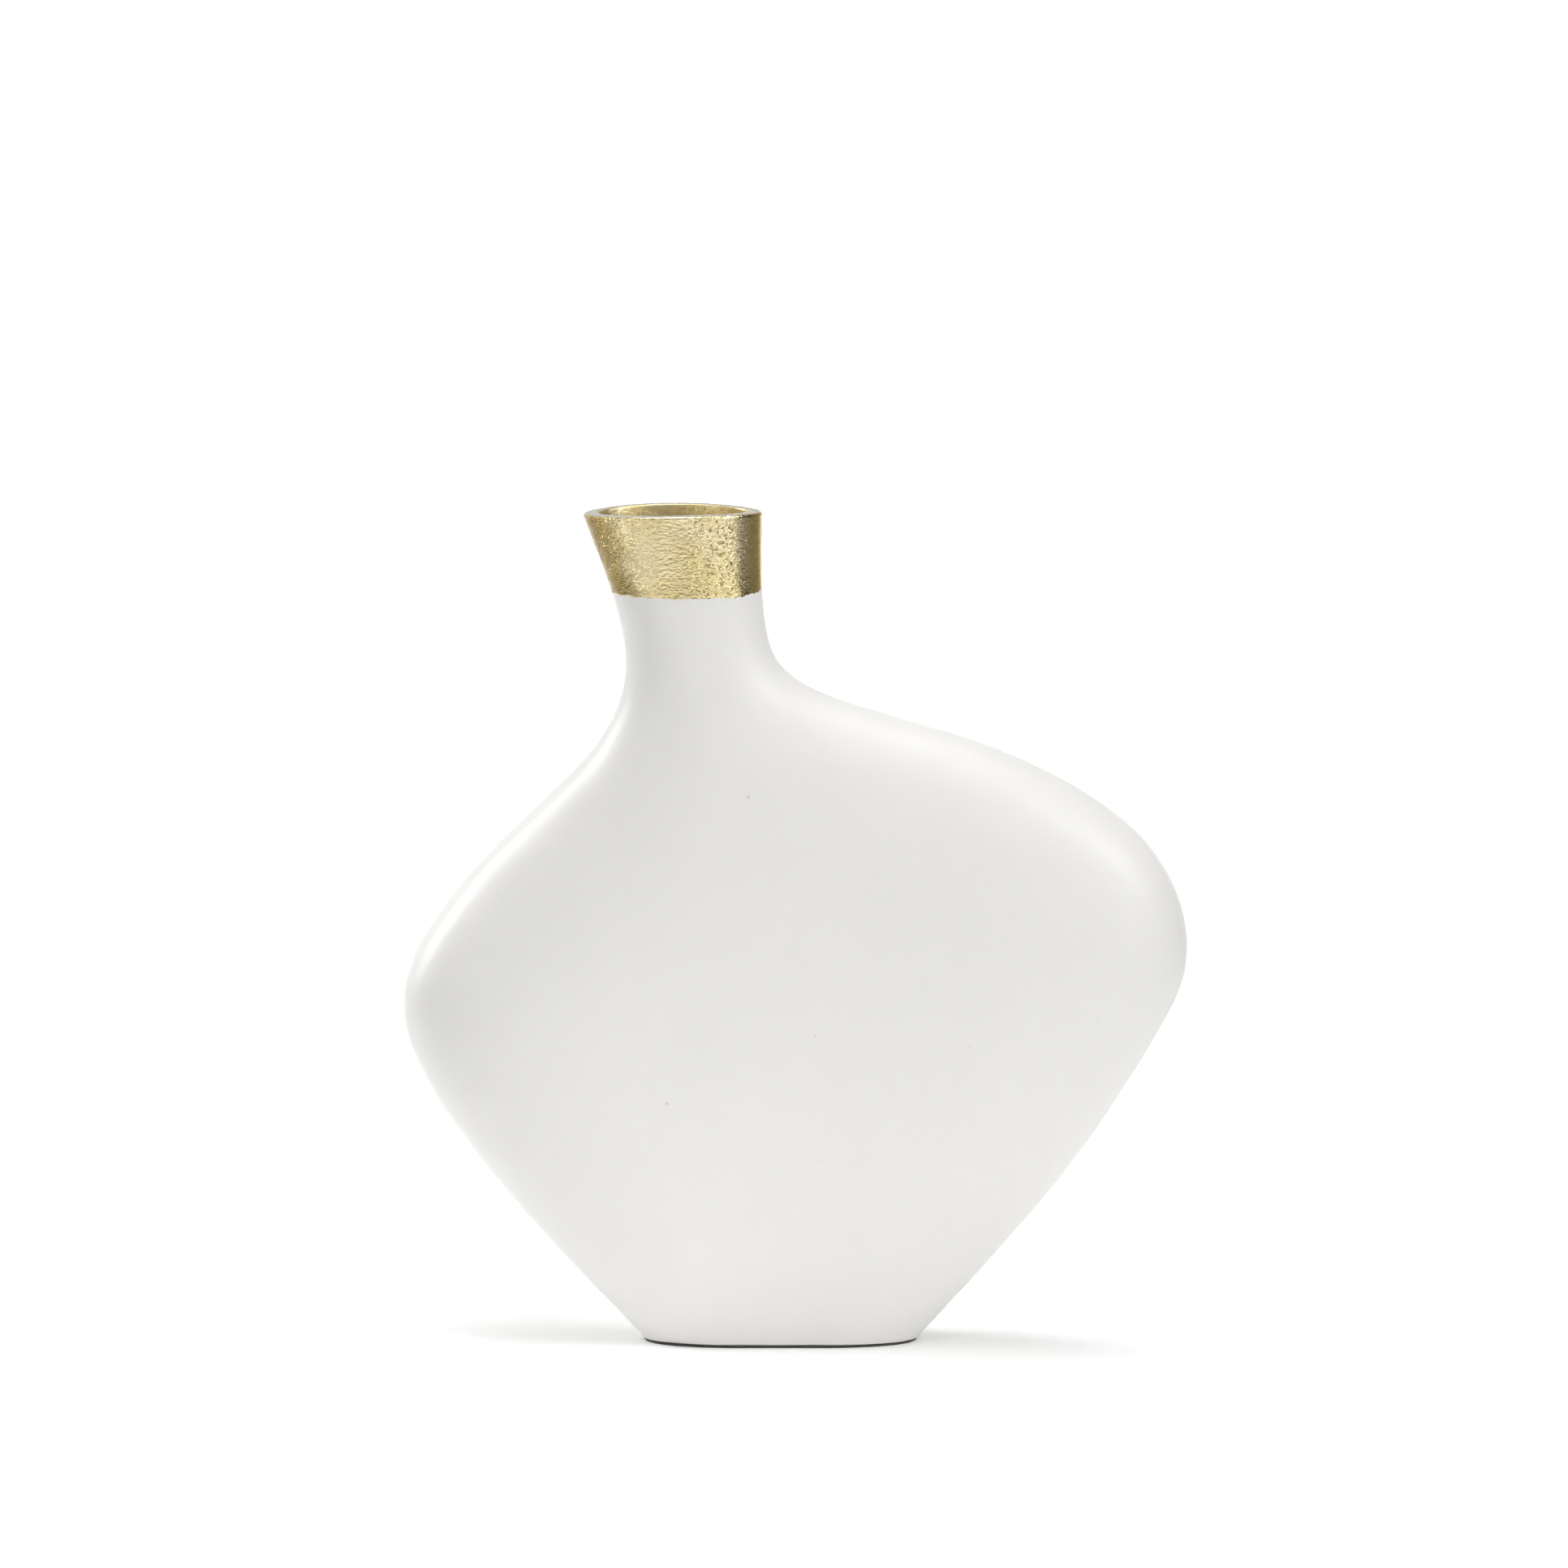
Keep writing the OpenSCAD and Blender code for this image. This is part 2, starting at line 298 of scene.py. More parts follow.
def make_piece(name, points, faces, finishes, finish_of_face=None, sharp_degrees=38):
    """One object from points in millimetres, smooth except at sharp corners."""
    mesh = bpy.data.meshes.new(name)
    mesh.from_pydata((points.reshape(-1, 3) * MM).tolist(), [], [list(map(int, f)) for f in faces])
    for finish in finishes:
        mesh.materials.append(finish)
    if finish_of_face is not None:
        mesh.polygons.foreach_set("material_index", np.asarray(finish_of_face, dtype=np.int32))
    mesh.update()
    mesh.validate()
    mesh.shade_smooth()
    mesh.set_sharp_from_angle(angle=math.radians(sharp_degrees))
    piece = bpy.data.objects.new(name, mesh)
    bpy.context.scene.collection.objects.link(piece)
    size = (np.ptp(points.reshape(-1, 3), axis=0)).round(1)
    print(name, "size mm", size.tolist(), "faces", len(faces))
    return piece


# %% [markdown]
# ## Writing a finish as sums
#
# A material is a small calculation done at every point of a surface. Written as plain sums it
# is easier to read than a web of boxes, so a small class wraps each value: adding, subtracting
# or multiplying two values places the matching node. Colours and directions have their own
# nodes, because a number node would turn a colour grey.

# %% Values and finishes
class Value:
    """One number, colour or direction inside a finish."""

    def __init__(self, finish, socket):
        self.finish = finish
        self.socket = socket

    def sum_with(self, operation, other, swapped=False):
        first, second = (other, self) if swapped else (self, other)
        return self.finish.node("Math", {"operation": operation}, {0: first, 1: second})

    def __add__(self, other):
        return self.sum_with("ADD", other)

    def __radd__(self, other):
        return self.sum_with("ADD", other, swapped=True)

    def __sub__(self, other):
        return self.sum_with("SUBTRACT", other)

    def __rsub__(self, other):
        return self.sum_with("SUBTRACT", other, swapped=True)

    def __mul__(self, other):
        return self.sum_with("MULTIPLY", other)

    def __rmul__(self, other):
        return self.sum_with("MULTIPLY", other, swapped=True)


class Finish:
    """A material under construction."""

    def __init__(self, name):
        self.material = bpy.data.materials.new(name)
        self.material.use_nodes = True
        self.tree = self.material.node_tree
        self.tree.nodes.clear()

    def node(self, kind, settings=None, values=None, output=0):
        """Adds a node: its settings first, then the values or links of its sockets."""
        made = self.tree.nodes.new("ShaderNode" + kind)
        for key, setting in (settings or {}).items():
            if key == "stops":
                self.set_stops(made.color_ramp, setting)
            else:
                setattr(made, key, setting)
        for key, value in (values or {}).items():
            self.feed(made.inputs[key], value)
        return Value(self, made.outputs[output]) if made.outputs else None

    def feed(self, socket, value):
        if isinstance(value, Value):
            self.tree.links.new(value.socket, socket)
        else:
            socket.default_value = value

    @staticmethod
    def set_stops(ramp, stops):
        while len(ramp.elements) < len(stops):
            ramp.elements.new(0.5)
        for element, (place, colour) in zip(ramp.elements, stops):
            element.position = place
            element.color = (*colour, 1)

    def place(self):
        """The point on the object, in metres."""
        return self.node("TexCoord", output="Object")

    def noise(self, place, size_mm, detail=2.0, roughness=0.5, distortion=0.0):
        """Cloudy noise with features about this many millimetres across, 0 to 1."""
        values = {
            "Vector": place,
            "Scale": 1 / (size_mm * MM),
            "Detail": detail,
            "Roughness": roughness,
            "Distortion": distortion,
        }
        return self.node("TexNoise", {"noise_dimensions": "3D"}, values, output="Fac")

    def stretched(self, place, factors):
        return self.node("VectorMath", {"operation": "MULTIPLY"}, {0: place, 1: factors})

    def between(self, value, low, high):
        """0 below low, 1 above high, smooth between."""
        settings = {"interpolation_type": "SMOOTHSTEP"}
        values = {"Value": value, "From Min": low, "From Max": high}
        return self.node("MapRange", settings, values)

    def mix(self, amount, first, second):
        """A colour part way between two colours."""
        ends = [end if isinstance(end, Value) else (*end, 1) for end in (first, second)]
        values = {0: amount, 6: ends[0], 7: ends[1]}
        return self.node("Mix", {"data_type": "RGBA"}, values, output=2)

    def bump(self, height, depth_mm, strength=1.0):
        """A normal from a height of 0 to 1, which stands for this many millimetres."""
        values = {"Height": height, "Distance": depth_mm * MM, "Strength": strength}
        return self.node("Bump", None, values)

    def surface(self, values):
        """Ends the finish with one Principled shader."""
        shader = self.node("BsdfPrincipled", None, values)
        self.node("OutputMaterial", None, {"Surface": shader})
        return self.material


# %% [markdown]
# ## White coat and gold, and the line between them
#
# The white is a satin enamel over cast metal, and it has a fine leathery orange peel. The gold is
# leaf or lacquer over the rougher bare casting above it. The two meet in a slightly ragged,
# masked line with no step. One recipe makes both, with the height deciding which one shows,
# so that the ragged line can wander a little onto the neighbouring piece.

# %% The line where the gold begins
GOLD_LINE_MM = 252.0
# Distance of the collar's left end from the middle of the vase, at the gold line
LEFT_END_MM = 61.0
# How far that end leans out to the left for each millimetre of height
LEFT_LEAN = 0.34


def gold_amount(finish, place):
    """0 on the white coat and 1 on the gold, with the height above the masked line in metres."""
    x = finish.node("SeparateXYZ", None, {0: place}, output="X")
    height = finish.node("SeparateXYZ", None, {0: place}, output="Z")
    # The masking was not level: it climbs a little to the left and more round the right end
    left_climb = finish.between(x * -1, 26 * MM, 62 * MM) * (0.8 * MM)
    right_climb = finish.between(x, -20 * MM, -9 * MM) * (1.4 * MM)
    masked = (GOLD_LINE_MM + 0.5) * MM + left_climb + right_climb
    ragged = (finish.noise(place, 2.0, detail=3.0, roughness=0.65) - 0.5) * (1.9 * MM)
    nibs = finish.between(finish.noise(place, 2.6, detail=1.0), 0.64, 0.74) * (0.5 * MM)
    above = height - masked + ragged + nibs
    return finish.between(above, -0.04 * MM, 0.04 * MM), above


# %% Specks and pits in the white
SPECKS_MM = [
    # x, height, radius, darkness
    (-15.5, 188.0, 0.55, 0.40),
    (-42.5, 86.0, 0.65, 0.35),
    (57.5, 105.5, 0.30, 0.45),
    (8.5, 66.5, 0.40, 0.25),
    (6.5, 109.0, 0.30, 0.55),
    (100.2, 113.6, 0.28, 0.40),
    (101.1, 112.7, 0.22, 0.35),
    (99.6, 112.8, 0.20, 0.35),
]


def specks(finish, place):
    """Darkening of the few small specks that sit in the coat on the front."""
    flat = finish.stretched(place, (1, 0, 1))
    total = 0.0
    for x, height, radius, darkness in SPECKS_MM:
        away = finish.node(
            "VectorMath",
            {"operation": "DISTANCE"},
            {0: flat, 1: (x * MM, 0, height * MM)},
            output="Value",
        )
        total = (1 - finish.between(away, 0.4 * radius * MM, radius * MM)) * darkness + total
    in_front = finish.node("SeparateXYZ", None, {0: place}, output="Y") * -1
    return total * finish.between(in_front, 0.0, 5 * MM)


# %% Build the coated and gilded finishes
def coat_and_gilding(name):
    finish = Finish(name)
    place = finish.place()
    gold, above = gold_amount(finish, place)

    # White: barely uneven tint, faint specks
    cloud = finish.noise(place, 55, detail=2.0)
    white = finish.mix(cloud, (0.815, 0.806, 0.778), (0.790, 0.783, 0.760))
    fleck = finish.noise(place, 0.9, detail=1.0)
    white = finish.mix(finish.between(fleck, 0.76, 0.82) * 0.25, white, (0.45, 0.43, 0.38))
    white = finish.mix(specks(finish, place), white, (0.20, 0.18, 0.15))

    # A thin lacquer fringe hangs just below the gold, on the left two thirds
    across = finish.node("SeparateXYZ", None, {0: place}, output="X")
    fringe = finish.between(above, -0.42 * MM, -0.10 * MM)
    fringe = fringe * finish.between(across * -1, 30 * MM, 36 * MM)
    fringe = fringe * finish.between(finish.noise(place, 5.0, detail=2.0), 0.35, 0.55)
    white = finish.mix(fringe * 0.75, white, (0.80, 0.55, 0.20))

    # Gold: paler where rubbed, browner in the hollows
    grain = finish.noise(place, 1.3, detail=4.0, roughness=0.6, distortion=0.6)
    worn = finish.noise(place, 14, detail=3.0)
    leaf = finish.mix(finish.between(worn, 0.35, 0.70), (0.85, 0.71, 0.37), (0.90, 0.78, 0.48))
    leaf = finish.mix(finish.between(grain, 0.62, 0.82) * 0.30, leaf, (0.46, 0.34, 0.12))

    # Two patches came rougher from the mould: right of the middle, and at the left end
    flattened = finish.stretched(place, (0.6, 0.8, 1.0))
    pits = finish.between(finish.noise(flattened, 1.0, detail=2.0, distortion=0.4), 0.54, 0.66)
    rough_right = finish.between(across, -39 * MM, -28 * MM)
    rough_right = rough_right * finish.between(across * -1, 18.5 * MM, 21 * MM)
    rough_left = finish.between(across * -1, 53 * MM, 62 * MM)

    # Painted shade: the gold is darkened and turned browner towards the two ends, where it reflects
    # the dim sides of the room
    height = finish.node("SeparateXYZ", None, {0: place}, output="Z")
    from_left = across + (LEFT_END_MM - LEFT_LEAN * GOLD_LINE_MM) * MM + height * LEFT_LEAN
    painted_shade_left_end = 1 - finish.between(from_left + (worn - 0.5) * (12 * MM), 2 * MM, 14 * MM)
    painted_shade_right_end = finish.between(across + (worn - 0.5) * (3 * MM), -18 * MM, -13 * MM)
    leaf = finish.mix(painted_shade_left_end, leaf, (0.40, 0.29, 0.095))
    leaf = finish.mix(painted_shade_right_end, leaf, (0.76, 0.56, 0.21))

    # Lacquer lies brown in the bottoms of the pits, and painted shade darkens those hollows further
    lacquer_and_painted_shade_in_pits = pits * (0.12 + rough_right * 0.62 + rough_left * 0.40)
    leaf = finish.mix(lacquer_and_painted_shade_in_pits, leaf, (0.27, 0.19, 0.07))

    # Relief: soft leather grain in the white, sharper grain in the gold
    leather = finish.noise(place, 2.4, detail=2.0, roughness=0.55, distortion=0.4)
    pores = finish.noise(place, 0.9, detail=1.5)
    white_height = leather * 0.75 + pores * 0.25
    pebbles = finish.noise(flattened, 0.75, detail=2.0, roughness=0.5) - 0.5
    smooth_end = finish.between(across, -20 * MM, -15 * MM)
    pebble_share = 0.8 + rough_right * 1.2 + rough_left * 3.6 - smooth_end * 0.45
    pit_share = 0.15 + rough_right * 1.1 + rough_left * 0.5
    gold_height = pebbles * pebble_share - pits * pit_share
    white_normal = finish.bump(white_height, 0.06)
    gold_normal = finish.bump(gold_height, 0.20)
    normal = finish.node(
        "Mix",
        {"data_type": "VECTOR"},
        {0: gold, 4: white_normal, 5: gold_normal},
        output=1,
    )

    patchy = finish.noise(place, 20, detail=3.0)
    return finish.surface(
        {
            "Base Color": finish.mix(gold, white, leaf),
            "Metallic": gold,
            "Roughness": (1 - gold) * (0.36 + patchy * 0.10) + gold * (0.07 + worn * 0.10),
            "IOR": 1.5,
            "Normal": normal,
        }
    )


white_coat = coat_and_gilding("white_enamel_coat")
gilding = coat_and_gilding("gilded_casting")
print("made", white_coat.name, "and", gilding.name)


# %% [markdown]
# ## Plainer finishes
#
# The rim was ground flat after gilding, so its top shows bare, finely scratched metal. The gold
# sprayed down inside the mouth is thinner and duller than outside. Further in, the shells keep
# the dull skin of the sand mould. The closing plate is bare metal, its film is clear, and the
# pad is short dense felt.

# %% Inner gold, ground rim, raw casting, plate, film and felt
def inner_gold_finish():
    finish = Finish("gold_inside_mouth")
    place = finish.place()
    sand = finish.noise(place, 1.6, detail=4.0, roughness=0.6, distortion=0.8)
    thin = finish.noise(place, 9, detail=3.0)
    colour = finish.mix(finish.between(thin, 0.35, 0.7), (0.78, 0.64, 0.32), (0.83, 0.73, 0.46))
    colour = finish.mix(finish.between(sand, 0.58, 0.75) * 0.5, colour, (0.50, 0.39, 0.20))
    return finish.surface(
        {
            "Base Color": colour,
            "Metallic": 0.9,
            "Roughness": 0.26 + sand * 0.16,
            "Normal": finish.bump(sand, 0.20),
        }
    )


def ground_rim_finish():
    finish = Finish("ground_rim_metal")
    place = finish.place()
    scratches = finish.noise(finish.stretched(place, (0.15, 1.0, 1.0)), 0.25, detail=2.0)
    cloud = finish.noise(place, 6, detail=3.0)
    colour = finish.mix(cloud, (0.69, 0.63, 0.53), (0.60, 0.54, 0.43))
    return finish.surface(
        {
            "Base Color": colour,
            "Metallic": 1.0,
            "Roughness": 0.24 + scratches * 0.18,
            "Normal": finish.bump(scratches, 0.01),
        }
    )


def raw_casting_finish():
    finish = Finish("raw_sand_casting")
    place = finish.place()
    sand = finish.noise(place, 0.8, detail=4.0, roughness=0.65)
    stain = finish.noise(place, 25, detail=3.0)
    colour = finish.mix(stain, (0.36, 0.35, 0.33), (0.22, 0.21, 0.19))
    return finish.surface(
        {
            "Base Color": colour,
            "Metallic": 0.8,
            "Roughness": 0.55 + sand * 0.25,
            "Normal": finish.bump(sand, 0.25),
        }
    )


def plate_finish():
    finish = Finish("sawn_plate")
    place = finish.place()
    saw = finish.noise(finish.stretched(place, (1.0, 0.05, 1.0)), 0.5, detail=2.0)
    colour = finish.mix(finish.noise(place, 18, detail=2.0), (0.56, 0.56, 0.54), (0.44, 0.43, 0.41))
    return finish.surface(
        {
            "Base Color": colour,
            "Metallic": 1.0,
            "Roughness": 0.32 + saw * 0.22,
            "Normal": finish.bump(saw, 0.03),
        }
    )


def film_finish():
    finish = Finish("clear_tacky_film")
    place = finish.place()
    ripple = finish.noise(place, 3.0, detail=2.0)
    colour = finish.mix(ripple, (0.70, 0.66, 0.52), (0.62, 0.57, 0.42))
    return finish.surface(
        {
            "Base Color": colour,
            "Roughness": 0.18 + ripple * 0.15,
            "Normal": finish.bump(ripple, 0.02),
        }
    )


def felt_finish():
    finish = Finish("dark_felt")
    place = finish.place()
    fibres = finish.noise(place, 0.35, detail=4.0, roughness=0.75, distortion=1.5)
    patches = finish.noise(place, 7, detail=2.0)
    colour = finish.mix(fibres, (0.030, 0.027, 0.024), (0.110, 0.098, 0.086))
    colour = finish.mix(patches * 0.4, colour, (0.055, 0.050, 0.046))
    return finish.surface(
        {
            "Base Color": colour,
            "Roughness": 0.85 + fibres * 0.15,
            "Sheen Weight": 0.25,
            "Normal": finish.bump(fibres, 0.25),
        }
    )


inner_gold = inner_gold_finish()
ground_rim = ground_rim_finish()
raw_casting = raw_casting_finish()
sawn_plate = plate_finish()
clear_film = film_finish()
dark_felt = felt_finish()

# %% [markdown]
# ## Front and rear shells
#
# Each shell is one closed solid: the coated outside, the spigot that the collar slips over, the
# raw inside, and the foot with a ledge for the closing plate. It is swept as a single grid, so
# there are no loose faces. The rear shell is the front one turned over.

# %% Sizes shared with the solid model, in millimetres
WALL = 5.0
FOOT_Z = 1.0
PLATE_TOP_Z = 4.0
PLATE_EDGE = 2.5
LEDGE_INSET = 6.0
LAP_DEPTH = 3.0
SPIGOT_Z = 260.0
RIM_Z = 280.0
WELD_DEPTH = 2.0
FOOT_ROUND = 0.7
# Lowest level of the raw inside, where the wall meets the ledge for the plate
INSIDE_LOW = 11.0

SHELL_SPANS = 220
OUTSIDE_ROWS = 300
INSIDE_ROWS = 60


def outside_levels():
    """Levels of the coated outside, with a softened edge round the foot."""
    levels = []
    for turn in (0.0, 0.25, 0.5, 0.75):
        angle = math.radians(90 * turn)
        height = FOOT_Z + FOOT_ROUND * (1 - math.cos(angle))
        inset = FOOT_ROUND * (1 - math.sin(angle))
        levels.append((height, FOOT_Z + FOOT_ROUND, inset, WELD_DEPTH))
    for height in even_levels(FOOT_Z + FOOT_ROUND, GOLD_LINE_MM, OUTSIDE_ROWS):
        levels.append((height, height, 0.0, WELD_DEPTH))
    return levels


def shell_solid():
    """Points and faces of the front shell."""
    outside = outside_levels()
    spigot = [(z, z, LAP_DEPTH, LAP_DEPTH) for z in (GOLD_LINE_MM, SPIGOT_Z)]
    inside = [(z, z, WALL, WALL) for z in even_levels(INSIDE_LOW, SPIGOT_Z, INSIDE_ROWS)[::-1]]
    foot = [
        (PLATE_TOP_Z + 1, FOOT_Z, LEDGE_INSET, LEDGE_INSET),
        (PLATE_TOP_Z, FOOT_Z, LEDGE_INSET, LEDGE_INSET),
        (PLATE_TOP_Z, FOOT_Z, PLATE_EDGE, PLATE_EDGE),
        (FOOT_Z, FOOT_Z, PLATE_EDGE, PLATE_EDGE),
    ]
    grid = front_rows(outside + spigot + inside + foot, SHELL_SPANS)
    coated = grid[: len(outside)]
    coated += grid_normals(coated, closed=False) * casting_waves(coated)[:, :, None]
    coated[:, 0, 1] = coated[:, -1, 1] = 0
    coated[-1, :, 2] = GOLD_LINE_MM
    coated[0, :, 2] = FOOT_Z
    rows, columns = grid.shape[:2]
    faces = grid_faces(rows, columns, columns - 1, wrap_rows=True)
    raw = np.zeros(len(faces), dtype=int)
    raw[len(outside) * (columns - 1):] = 1
    ends = [list(range(0, rows * columns, columns))]
    ends.append(list(range(columns - 1, rows * columns, columns))[::-1])
    return grid, faces, raw, ends


shell_grid, shell_faces, shell_raw, shell_ends = shell_solid()
print("shell grid", shell_grid.shape)


# %% Make both shells
def close_ends(faces, ends):
    return [tuple(face) for face in faces] + [tuple(end) for end in ends]


def make_shell(name, mirrored):
    points = shell_grid.copy()
    faces = close_ends(shell_faces, shell_ends)
    if mirrored:
        points[:, :, 1] *= -1
        faces = [face[::-1] for face in faces]
    finish_of_face = np.concatenate([shell_raw, [1, 1]])
    return make_piece(name, points, faces, [white_coat, raw_casting], finish_of_face)


front = make_shell("front_shell_coated", mirrored=False)
rear = make_shell("rear_shell_coated", mirrored=True)
for piece, node in ((front, "front_shell"), (rear, "rear_shell")):
    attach(piece, "root")
    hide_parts(node)

# %% [markdown]
# ## Weld fill
#
# The two shells meet in a groove down each side. It was filled with weld, ground flush and
# coated with the rest, so from outside only a very slight band shows. Each fill is a long
# wedge that follows the groove from the foot to the collar.


# %% Make the two welds
def make_weld(name, curve, side):
    levels = outside_levels()
    plan = np.array([level[1] for level in levels])
    drawn = np.array([level[0] for level in levels])
    inset = np.array([level[2] for level in levels])
    face = np.array([edge_x(curve, side, z, d) for z, d in zip(plan, inset)])
    root = edge_x(curve, side, plan, WELD_DEPTH)
    across = np.linspace(-WELD_HALF_WIDTH, WELD_HALF_WIDTH, 5)
    rows = np.zeros((len(levels), len(across) + 1, 3))
    rows[:, :-1, 0] = face[:, None]
    rows[:, :-1, 1] = across[None, :]
    rows[:, -1, 0] = root
    rows[:, :, 2] = drawn[:, None]
    slope = np.gradient(face, drawn)
    outward = np.stack([-np.ones_like(slope), np.zeros_like(slope), slope], axis=1) * side
    outward /= np.linalg.norm(outward, axis=1)[:, None]
    rows[:, :-1] += outward[:, None, :] * casting_waves(rows[:, :-1])[:, :, None]
    rows[0, :, 2] = FOOT_Z
    rows[-1, :, 2] = GOLD_LINE_MM
    count, columns = rows.shape[:2]
    faces = [tuple(face) for face in grid_faces(count, columns, columns, wrap_rows=False)]
    faces.append(tuple(range(columns))[::-1])
    faces.append(tuple(range((count - 1) * columns, count * columns)))
    if side > 0:
        faces = [face[::-1] for face in faces]
    return make_piece(name, rows, faces, [white_coat])


left_fill = make_weld("left_weld_fill", left_curve, 1)
right_fill = make_weld("right_weld_fill", right_curve, -1)
for piece, node in ((left_fill, "left_weld"), (right_fill, "right_weld")):
    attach(piece, "root")
    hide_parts(node)

# %% [markdown]
# ## Gilded collar
#
# The gold mouth keeps the full texture of the sand mould: short ripples about a millimetre
# apart, mostly lying level, rougher in some patches than others. They catch the light far too
# strongly to be faked, so the grid is fine enough to carry them as real relief. The top was
# ground flat afterwards, slightly out of level, which leaves a crisp edge with a small radius.

# %% Texture of the bare casting
COLLAR_SPANS = 280
COLLAR_ROWS = 106
RIM_ROUND = 0.8
RIM_INNER_ROUND = 0.6
RIM_FALL = 1.2
RIM_PEAK = 0.6
GROUND_START = 2.0
FIT_GAP = 0.15
RIPPLE_MM = 0.018
# The collar is stiffer than the shells, and keeps this share of their shallow waves
COLLAR_WAVE_SHARE = 0.5
# The right end came smoother from the mould: from this x, over this width
SMOOTH_FROM = -22.0
SMOOTH_OVER = 5.0


def casting_ripples(points):
    """Height in millimetres of the sand-mould texture under the gold."""
    warp = 0.45 * waves(points, 3, 7, seed=21)[:, :, None]
    bent = points + warp
    ripples = waves(bent, 1.4, 2.4, seed=22, count=70, stretch=(1.5, 1.0, 0.9))
    pebbles = waves(bent, 1.3, 1.8, seed=23, count=70)
    patches = 0.5 + 0.5 * np.tanh(1.6 * waves(points, 8, 18, seed=24))
    height = ripples * (0.30 + 0.70 * patches) + 0.5 * pebbles
    return RIPPLE_MM * (height - 0.20 * np.abs(height))


# %% Make the collar
def ground(grid):
    """The rim was ground slightly crowned, and lower at its left end."""
    left = edge_x(left_curve, 1, RIM_Z, 0)
    right = edge_x(right_curve, -1, RIM_Z, 0)
    share = (grid[:, :, 0] - left) / (right - left)
    fall = RIM_FALL * ((share - RIM_PEAK) / RIM_PEAK) ** 2
    start = SPIGOT_Z + GROUND_START
    out = grid.copy()
    out[:, :, 2] -= fall * np.clip((grid[:, :, 2] - start) / (RIM_Z - start), 0, None)
    return out


def corner_levels(radius, inner, steps):
    """A quarter round between a side of the collar and its flat top."""
    levels = []
    for k in range(steps + 1):
        angle = math.radians(90 * k / steps)
        rise = radius * math.sin(angle)
        reach = radius * (1 - math.cos(angle))
        height = RIM_Z - radius + rise
        levels.append((height, WALL - reach) if inner else (height, reach))
    return levels[::-1] if inner else levels


def make_collar():
    outside = [(z, 0.0) for z in np.linspace(GOLD_LINE_MM, RIM_Z - RIM_ROUND, COLLAR_ROWS)[:-1]]
    outer_corner = corner_levels(RIM_ROUND, inner=False, steps=6)
    flat_top = [(RIM_Z, d) for d in np.linspace(RIM_ROUND, WALL - RIM_INNER_ROUND, 7)[1:-1]]
    inner_corner = corner_levels(RIM_INNER_ROUND, inner=True, steps=4)
    socket_z = SPIGOT_Z + FIT_GAP
    inside = [(z, WALL) for z in np.linspace(RIM_Z - RIM_INNER_ROUND, socket_z, 36)[1:]]
    socket = [(socket_z, LAP_DEPTH - FIT_GAP), (GOLD_LINE_MM, LAP_DEPTH - FIT_GAP)]
    section = outside + outer_corner + flat_top + inner_corner + inside + socket
    grid = whole_rows([(z, z, d) for z, d in section], COLLAR_SPANS)

    top_start = len(outside) + len(outer_corner)
    top_end = top_start + len(flat_top)
    normal = grid_normals(grid, closed=True)
    smoother = np.clip((grid[:, :, 0] - SMOOTH_FROM) / SMOOTH_OVER, 0, 1)
    lift = casting_ripples(grid) * (1 - 0.6 * smoother)
    rough = np.ones(len(section))
    rough[top_start - 3: top_end + 2] = 0
    rough[top_start - 6: top_start - 3] = (0.75, 0.5, 0.25)
    rough[-2:] = 0
    rough[:8] = np.arange(8) / 8
    grid = grid + normal * (lift * rough[:, None])[:, :, None]
    shallow = COLLAR_WAVE_SHARE * (normal * casting_waves(grid)[:, :, None])
    grid[: len(outside)] += shallow[: len(outside)]
    grid[0, :, 2] = GOLD_LINE_MM
    grid = ground(grid)

    rows, columns = grid.shape[:2]
    faces = [tuple(face) for face in grid_faces(rows, columns, columns, wrap_rows=True)]
    finish_of_row = np.zeros((rows, columns), dtype=int)
    finish_of_row[top_start - 2: top_end + 1] = 1
    finish_of_row[top_end + 1:] = 2
    finishes = [gilding, ground_rim, inner_gold]
    return make_piece("gilded_mouth", grid, faces, finishes, finish_of_row.ravel())


collar = make_collar()
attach(collar, "root")
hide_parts("gilded_collar")

# %% [markdown]
# ## Felt pad
#
# A thin felt pad keeps the casting off the furniture. It was cut by hand, so its edge wanders
# by a tenth of a millimetre, and the felt bulges slightly where the weight squeezes it.

# %% Make the pad
PAD_THICK = 0.8
PAD_INSET = 0.3


def make_pad():
    edge = whole_rows([(0, FOOT_Z, PAD_INSET)], 110)[0]
    middle = edge.mean(axis=0)
    across = (edge - middle)[:, :2]
    outward = across / np.linalg.norm(across, axis=1)[:, None]
    fray = 0.08 * waves(edge, 1.5, 5.0, seed=31)
    profile = [
        # height, how far out
        (0.00, -0.12), (0.08, 0.00), (0.25, 0.10), (0.55, 0.10), (0.72, 0.00), (PAD_THICK, -0.10),
    ]
    rings = []
    for share in (0.25, 0.5, 0.72, 0.88, 0.96):
        rings.append((0.0, middle[:2] + across * share))
    for height, out in profile:
        rings.append((height, edge[:, :2] + outward * (out + fray)[:, None]))
    for share in (0.96, 0.88, 0.72, 0.5, 0.25):
        rings.append((PAD_THICK, middle[:2] + across * share))
    grid = np.zeros((len(rings), len(edge), 3))
    for row, (height, flat) in enumerate(rings):
        grid[row, :, :2] = flat
        grid[row, :, 2] = height
    count, columns = grid.shape[:2]
    faces = [tuple(face) for face in grid_faces(count, columns, columns, wrap_rows=False)]
    faces.append(tuple(range(columns))[::-1])
    faces.append(tuple(range((count - 1) * columns, count * columns)))
    return make_piece("felt_pad", grid, faces, [dark_felt], sharp_degrees=60)


pad = make_pad()
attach(pad, "root")
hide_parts("base_pad")

# %% [markdown]
# ## Plate and film
#
# These two sit under the foot, hidden by the pad. Their solids already have the right shape, so
# they only need their finish.

